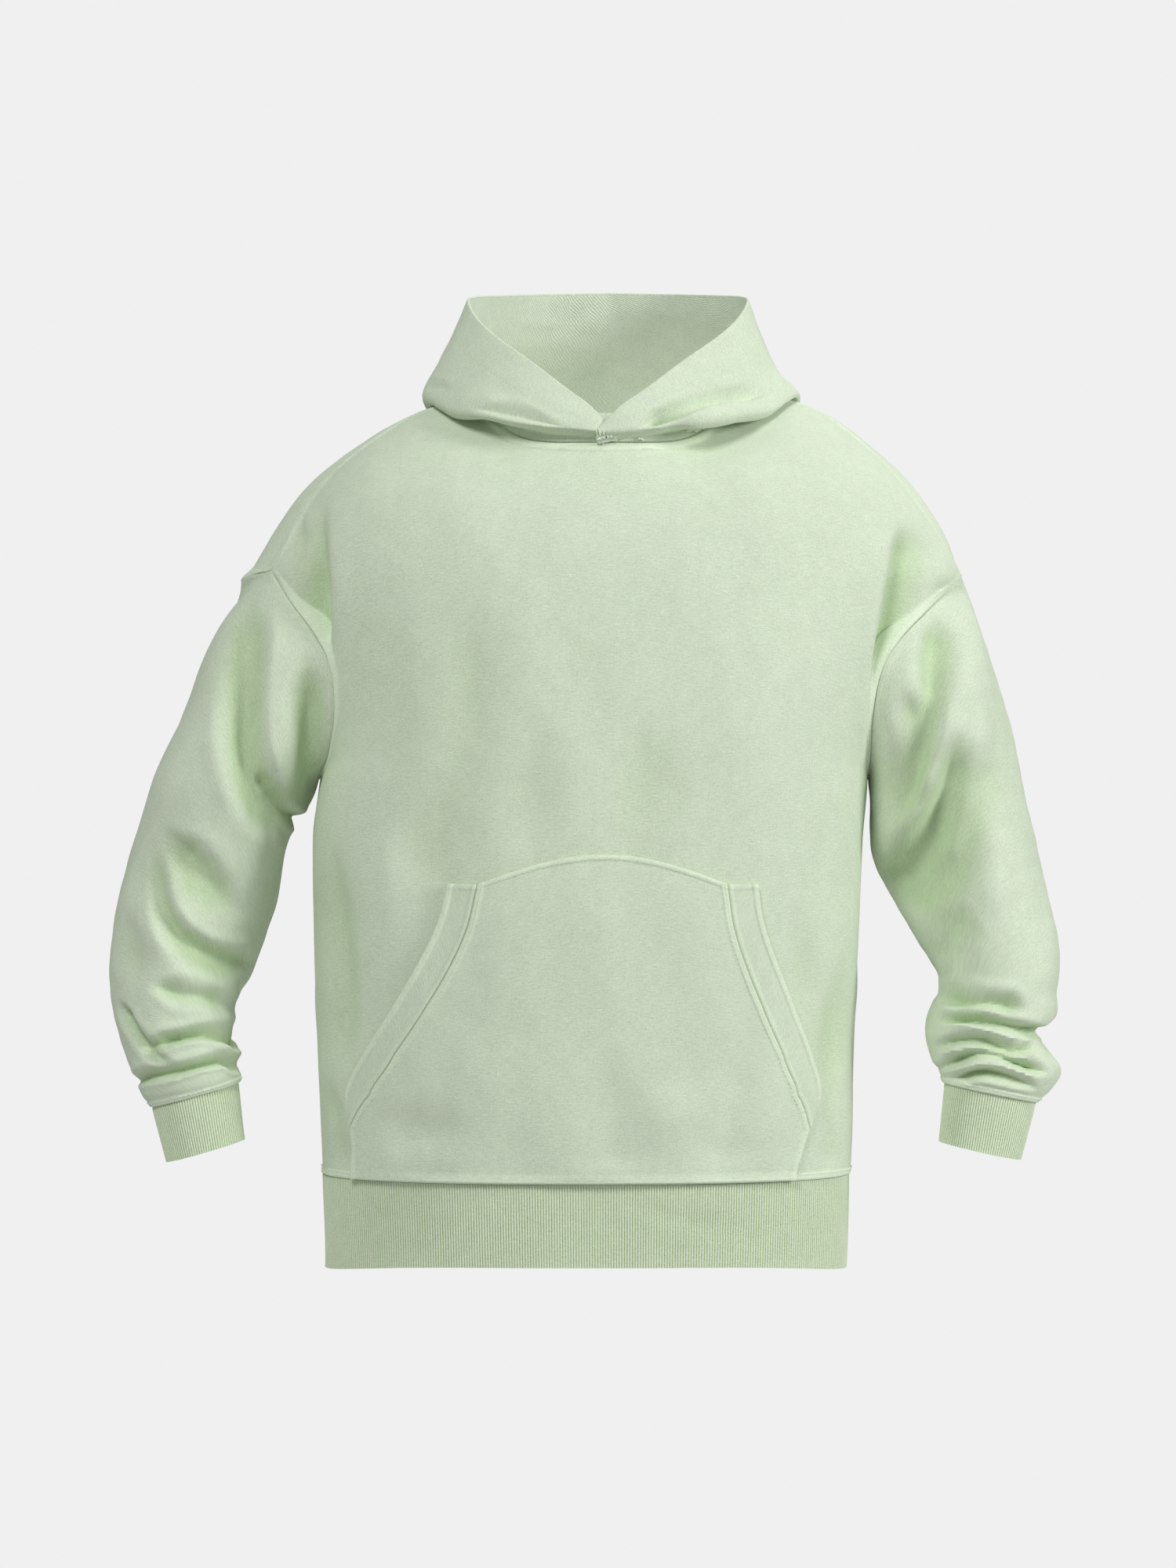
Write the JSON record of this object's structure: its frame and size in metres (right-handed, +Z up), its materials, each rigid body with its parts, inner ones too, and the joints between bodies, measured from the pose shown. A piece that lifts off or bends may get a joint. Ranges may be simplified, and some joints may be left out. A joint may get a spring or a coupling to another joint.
{
  "type": "pullover hoodie",
  "caption": "Hollow pullover hoodie in fleece: dropped shoulders, long sleeves, ribbed cuffs and hem, kangaroo pocket, hood lying back, filled out as if worn.",
  "frame": {"origin": "middle of the neck opening, at the height of the shoulders' high points beside the neck", "axes": "+Z up the garment towards the hood, -Y out of the front, +X towards the wearer's left sleeve"},
  "size_m": [0.7932, 0.3041, 0.8139],
  "materials": {
    "fleece": "pale sage green brushed-back sweatshirt fleece",
    "rib": "pale sage green rib knit"
  },
  "bodies": {
    "root": {"front_body": "fleece", "back_body": "fleece", "sleeve_right": "fleece", "sleeve_left": "fleece", "hood_right": "fleece", "hood_left": "fleece", "pocket_panel": "fleece", "pocket_facing_right": "fleece", "pocket_facing_left": "fleece", "hem_band": "rib", "cuff_right": "rib", "cuff_left": "rib"}
  },
  "joints": []
}
